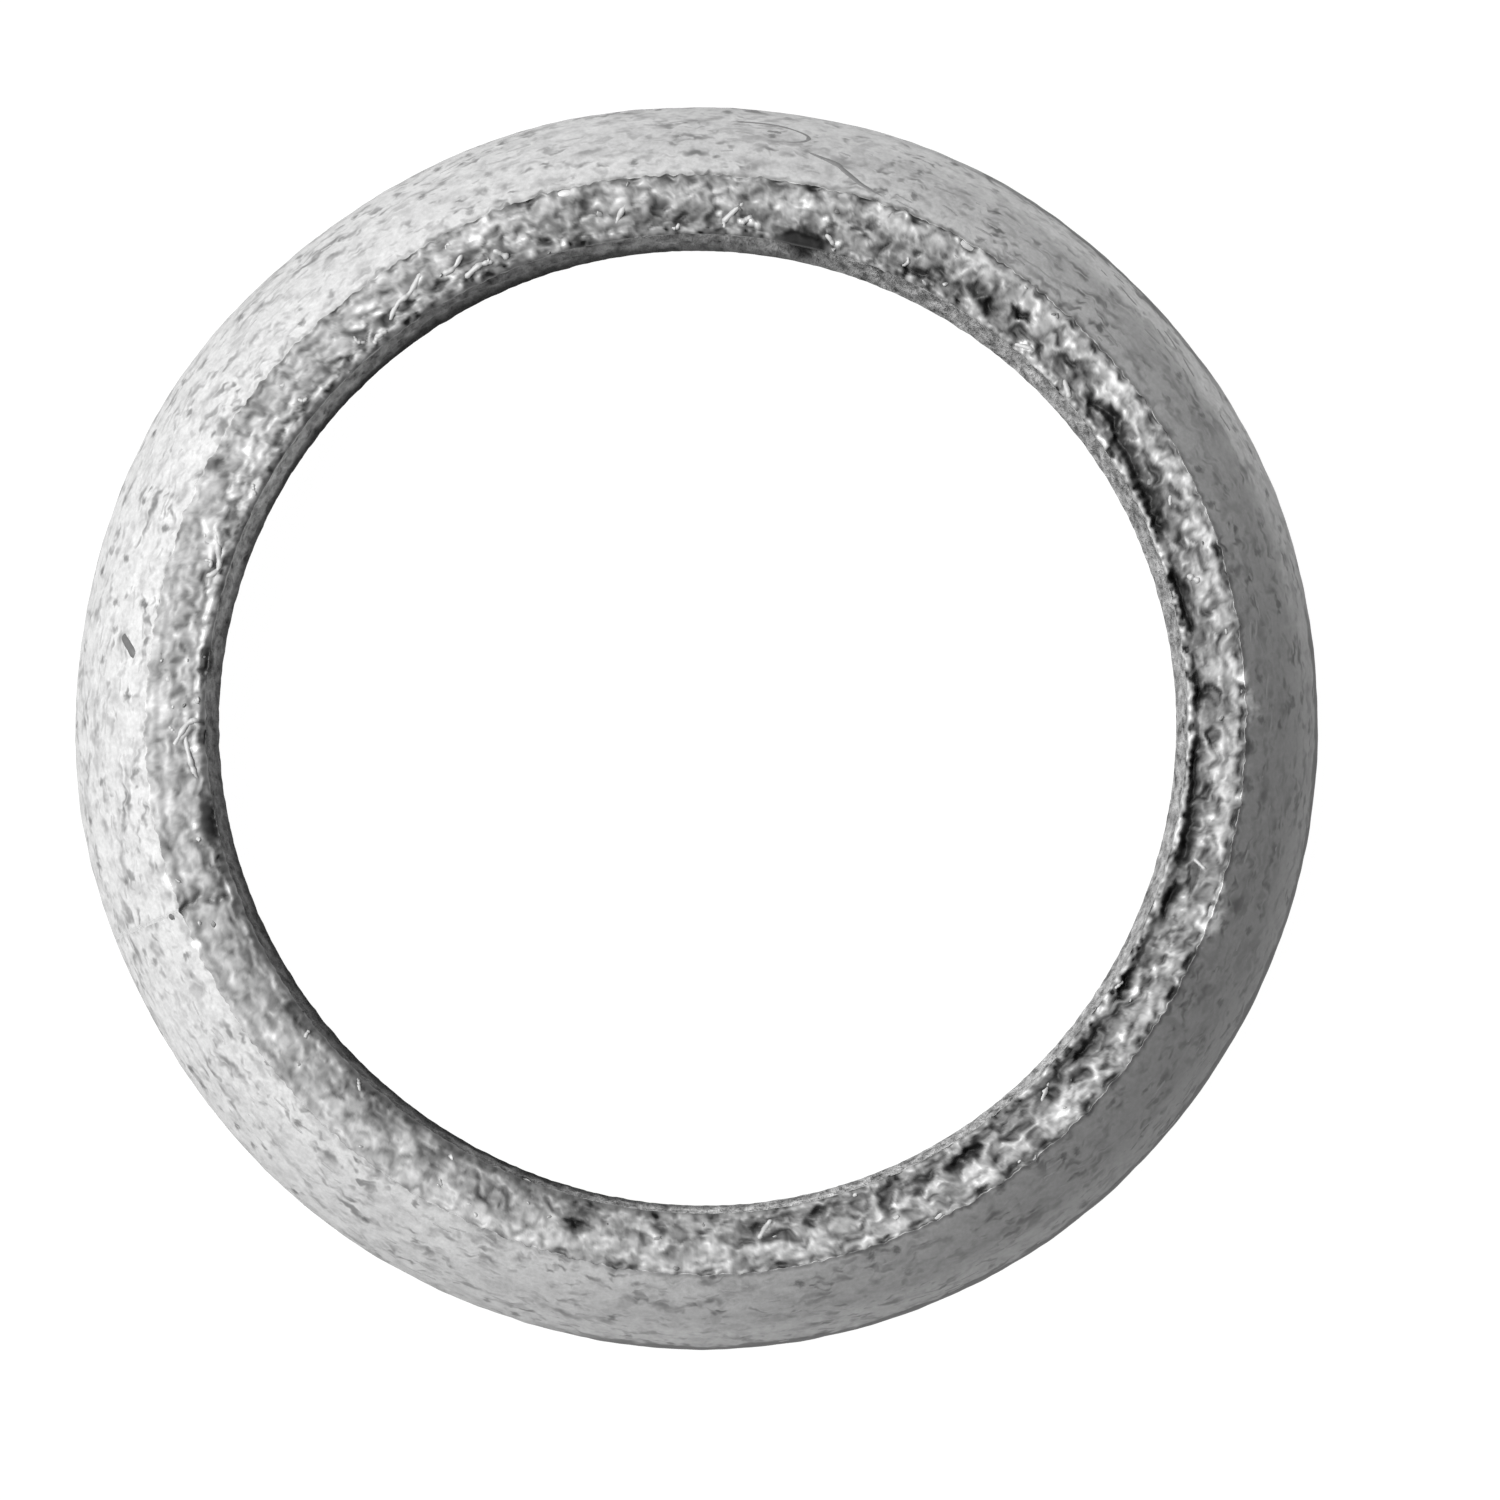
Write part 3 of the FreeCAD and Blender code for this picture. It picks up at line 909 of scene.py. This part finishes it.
def curvePath(stops, count):
    # a smooth line through a few stops
    stops = np.array(stops, float)
    t = np.linspace(0, len(stops) - 1, count)
    i = np.clip(np.floor(t).astype(int), 0, len(stops) - 2)
    f = (t - i)[:, None]
    before, start = stops[np.clip(i - 1, 0, None)], stops[i]
    end, after = stops[i + 1], stops[np.clip(i + 2, None, len(stops) - 1)]
    bend = (end - before) / 2 * (f - 2 * f ** 2 + f ** 3) + (after - start) / 2 * (f ** 3 - f ** 2)
    return start * (1 - 3 * f ** 2 + 2 * f ** 3) + end * (3 * f ** 2 - 2 * f ** 3) + bend


def uneven(source, low, high, count):
    return np.convolve(source.uniform(low, high, count + 2), np.ones(3) / 3, "valid")


def buildSeatScars():
    parts = []
    source = np.random.default_rng(seatScars["seed"])
    creases = len(seatScars["paths"]) - seatScars["gouges"]
    for stops, proud, thick in zip(seatScars["paths"], seatScars["proud"], seatScars["radii"]):
        path = curvePath(stops, 6 * len(stops))
        point, normal = seatPlace(np.radians(path[:, 0]), path[:, 1])
        level = proud * uneven(source, 0.3, 1.6, len(path))
        level = level - 0.08 * np.abs(np.linspace(-1, 1, len(path))) ** 6
        path = point + normal * (level - thick)[:, None]
        parts.append(tubeArrays(path, sideways(point, normal), normal, thick, seatScars["sides"]))
    groups = {"seat_scars": parts[:creases], "seat_gouges": parts[creases:]}
    for (name, chosen), level in zip(groups.items(), seatScars["levels"]):
        addPiece(name, *gather(chosen), wireMaterial(name + "Finish", level, seatScars["roughness"], 0.0))


buildSeatScars()

looseWires = {
    "seed": 8,
    "radius": 0.17,
    "moreRadius": 0.11,
    "sides": 8,
    # paths of azimuth and mm out from the bore, as they lie on the crumpled land
    "paths": [
        [(186.6, 0.6), (184.6, 0.85), (181.3, 1.1)], [(182.7, 1.7), (180.2, 0.95), (179.7, 0.35)],
        [(163.6, 1.1), (162.2, 0.6), (160.1, 0.95), (158.0, 1.5)],
        [(127.6, 0.75), (125.4, 1.25), (123.6, 1.35), (121.4, 1.95)],
        [(130.6, 0.3), (129.6, 0.5), (128.4, 0.45)], [(119.6, 1.3), (118.2, 1.25), (116.6, 1.75)],
        [(117.6, 0.55), (115.4, 0.8), (113.9, 0.7)], [(87.0, 0.55), (84.9, 1.6)],
        [(84.9, 0.55), (83.8, 0.95)], [(99.2, 0.8), (97.8, 1.7)], [(75.1, 0.75), (74.0, 0.35)],
        [(50.0, 0.2), (47.9, 0.6)], [(43.0, 0.6), (41.1, 0.2)], [(16.7, 1.1), (15.7, 1.6)],
        [(314.4, 0.6), (312.2, 1.1)], [(278.5, 0.6), (276.8, 1.5)], [(113.3, 1.2), (112.0, 0.55)],
    ],
    "more": 14,
    "moreLength": (0.35, 0.9),
    "finish": (0.165, 0.6, 0.0),
}


def landPlace(azimuth, out, rows):
    # height of the crumpled land, read from the ring's own rows
    land = [row for row in rows if row[5] == 2]
    columns = ring["fineColumns"]
    column = np.round(azimuth / (2 * math.pi) * columns).astype(int) % columns
    radii = np.stack([row[1] for row in land])[:, column]
    heights = np.stack([row[2] for row in land])[:, column]
    wanted = ring["boreRadius"] + out
    index = np.abs(radii - wanted[None, :]).argmin(axis=0)
    return polar(azimuth, wanted, heights[index, np.arange(len(column))])


def eased(heights):
    # a wire is stiffer than the folds under it
    wide = np.concatenate([heights[:1], heights[:1], heights, heights[-1:], heights[-1:]])
    return np.maximum(np.convolve(wide, np.ones(5) / 5, "valid"), heights - 0.05)


def buildLooseWires(rows):
    source = np.random.default_rng(looseWires["seed"])
    paths = [np.array(path, float) for path in looseWires["paths"]]
    for index in range(looseWires["more"]):
        azimuth, out = source.uniform(0, 360), 0.15 + 2.4 * source.random() ** 1.4
        length = source.uniform(*looseWires["moreLength"])
        heading = source.normal(0, 0.8)
        bend = source.normal(0, 0.7)
        stops = []
        for t in (-0.5, 0.0, 0.5):
            turned = heading + bend * t
            swing = math.degrees(t * length * math.cos(turned) / landMiddle)
            stops.append((azimuth + swing, out + t * length * math.sin(turned)))
        paths.append(np.array(stops))
    parts = []
    for index, path in enumerate(paths):
        placed = index < len(looseWires["paths"])
        path = curvePath(path, 8 * len(path))
        azimuth = np.radians(path[:, 0])
        out = np.clip(path[:, 1], 0.12, 2.85)
        point = landPlace(azimuth, out, rows)
        thick = looseWires["radius"] if placed else looseWires["moreRadius"]
        point[:, 2] = eased(point[:, 2]) - 0.45 * thick + 0.03 * source.random()
        ends = np.abs(np.linspace(-1, 1, len(point))) ** 4
        point[:, 2] = np.minimum(point[:, 2] - 0.12 * ends, ring["height"] - 0.03 - 1.3 * thick)
        across = sideways(point, (0, 0, 1))
        outward = unit(np.cross(across, np.gradient(point, axis=0)))
        lumpy = thick * uneven(source, 0.55, 1.35, len(point))
        lumpy = lumpy * (1 - 0.5 * np.abs(np.linspace(-1, 1, len(point))) ** 6)
        parts.append(tubeArrays(point, across, outward, lumpy[:, None, None], looseWires["sides"]))
    addPiece("loose_wires", *gather(parts), wireMaterial("bareWire", *looseWires["finish"]))


buildLooseWires(rows)

looseFlakes = {
    "seed": 3,
    "count": 60,
    "long": (0.2, 0.45),
    "thin": 0.035,
    "tilt": 0.5,
    "reach": 2.95,            # mm out from the bore where the land's height is last read
    # name, share, level, roughness and metallic of each kind
    "kinds": [("bright_flakes", 0.25, 0.17, 0.6, 0.0), ("grey_flakes", 0.45, 0.12, 0.5, 0.1),
              ("dark_flakes", 0.3, 0.04, 0.6, 0.0)],
}


def flakeArrays(centre, axes, sizes, source):
    # a lumpy bent scale: a flattened ball of twelve by six faces
    around, up = 12, 6
    wobble = source.uniform(0.75, 1.2, around)
    bend = source.uniform(-0.6, 0.6, 2)
    turn = np.arange(around) * (2 * math.pi / around)
    level = np.arange(1, up)[:, None] * (math.pi / up)
    x, y = np.sin(level) * np.cos(turn) * wobble, np.sin(level) * np.sin(turn) * wobble
    z = -np.cos(level) * sizes[2] + (bend[0] * x * x + bend[1] * y * y) * sizes[1] * 0.6
    spread = np.stack([x * sizes[0], y * sizes[1], z], axis=-1).reshape(-1, 3) @ np.array(axes)
    tip = axes[2] * sizes[2]
    points = centre + np.concatenate([[-tip], spread, [tip]])
    faces = []
    last = len(points) - 1
    for i in range(around):
        k = (i + 1) % around
        faces.append((0, 1 + k, 1 + i))
        for j in range(up - 2):
            a = 1 + j * around
            faces.append((a + i, a + k, a + around + k, a + around + i))
        a = 1 + (up - 2) * around
        faces.append((a + i, a + k, last))
    return points, faces


def buildLooseFlakes(rows):
    source = np.random.default_rng(looseFlakes["seed"])
    groups = [[] for kind in looseFlakes["kinds"]]
    shares = [kind[1] for kind in looseFlakes["kinds"]]
    spots = []
    for flake in range(looseFlakes["count"]):
        out = 0.1 + 2.9 * source.random()
        kind = int(source.choice(len(shares), p=shares))
        spots.append((source.uniform(0, 360), out, source.uniform(*looseFlakes["long"]), kind))
    for azimuth, out, size, kind in spots:
        angle = np.radians(np.array([azimuth]))
        centre = landPlace(angle, np.array([min(out, looseFlakes["reach"])]), rows)[0]
        radial = np.array([math.cos(angle[0]), math.sin(angle[0]), 0])
        centre[:2] = radial[:2] * (ring["boreRadius"] + out)
        around = np.array([-radial[1], radial[0], 0])
        turn = source.normal(0, 0.6)
        longAxis = around * math.cos(turn) + radial * math.sin(turn)
        normal = unit((0, 0, 1) + source.normal(0, looseFlakes["tilt"] * 0.5, 3) * (1, 1, 0))
        across = unit(np.cross(normal, longAxis))
        longAxis = np.cross(across, normal)
        sizes = (size * 0.5, size * 0.5 * source.uniform(0.4, 0.8), looseFlakes["thin"])
        points, faces = flakeArrays(centre, (longAxis, across, normal), sizes, source)
        top = points[:, 2].max() - (ring["height"] - 0.015)
        points[:, 2] -= max(0, top)
        notchStart, notchEnd = crumple["notch"]
        inNotch = notchStart < azimuth < notchEnd and out < 0.8
        if not inNotch:
            groups[kind].append((points, faces))
    for (name, share, *finish), parts in zip(looseFlakes["kinds"], groups):
        addPiece(name, *gather(parts), wireMaterial(name + "Finish", *finish))


buildLooseFlakes(rows)


studio = {
    "keySize": 0.7, "keyPower": 39.0, "keyPlace": (-0.435, 0.117, 0.78),
    "world": 0.02, "floorLevel": 0.02, "floorGlow": 1.0, "floorReach": 3.0,
}


def areaLight(name, place, size, power):
    lamp = bpy.data.lights.new(name, "AREA")
    lamp.shape = "SQUARE"
    lamp.size = size
    lamp.energy = power
    holder = addObject(name, lamp)
    holder.location = place
    holder.rotation_euler = (Vector((0, 0, 0)) - Vector(place)).to_track_quat("-Z", "Y").to_euler()


def buildStudio():
    areaLight("keyLight", studio["keyPlace"], studio["keySize"], studio["keyPower"])
    world = bpy.data.worlds.new("studio")
    world.use_nodes = True
    level = studio["world"]
    world.node_tree.nodes["Background"].inputs["Color"].default_value = (level, level, level, 1)
    bpy.context.scene.world = world
    mesh = bpy.data.meshes.new("floor")
    reach = studio["floorReach"]
    corners = [(-reach, -reach, 0), (reach, -reach, 0), (reach, reach, 0), (-reach, reach, 0)]
    mesh.from_pydata(corners, [], [(0, 1, 2, 3)])
    floor = addObject("floor", mesh)
    material = bpy.data.materials.new("floor")
    material.use_nodes = True
    level = studio["floorLevel"]
    feed(material.node_tree.nodes["Principled BSDF"], {
        "Base Color": (level, level, level, 1),
        "Roughness": 0.9,
        "Specular IOR Level": 0.0,
        "Emission Color": (1, 1, 1, 1),
        "Emission Strength": studio["floorGlow"],
    })
    mesh.materials.append(material)
    bpy.context.scene.view_settings.view_transform = "Standard"


view = {
    "distance": 500 * mm,
    "nadir": (2.75 * mm, -8.6 * mm),
    "target": (2.75 * mm, -1.22 * mm),
    "focal": 225.2,
    "sensor": 36.0,
}


def buildCamera():
    lens = bpy.data.cameras.new("camera")
    lens.lens = view["focal"]
    lens.sensor_width = view["sensor"]
    lens.clip_start = 0.01
    holder = addObject("camera", lens)
    holder.location = (*view["nadir"], view["distance"])
    aim = Vector((*view["target"], 0)) - holder.location
    holder.rotation_euler = aim.to_track_quat("-Z", "Y").to_euler()
    bpy.context.scene.camera = holder


buildStudio()
buildCamera()
print("studio and camera ready")
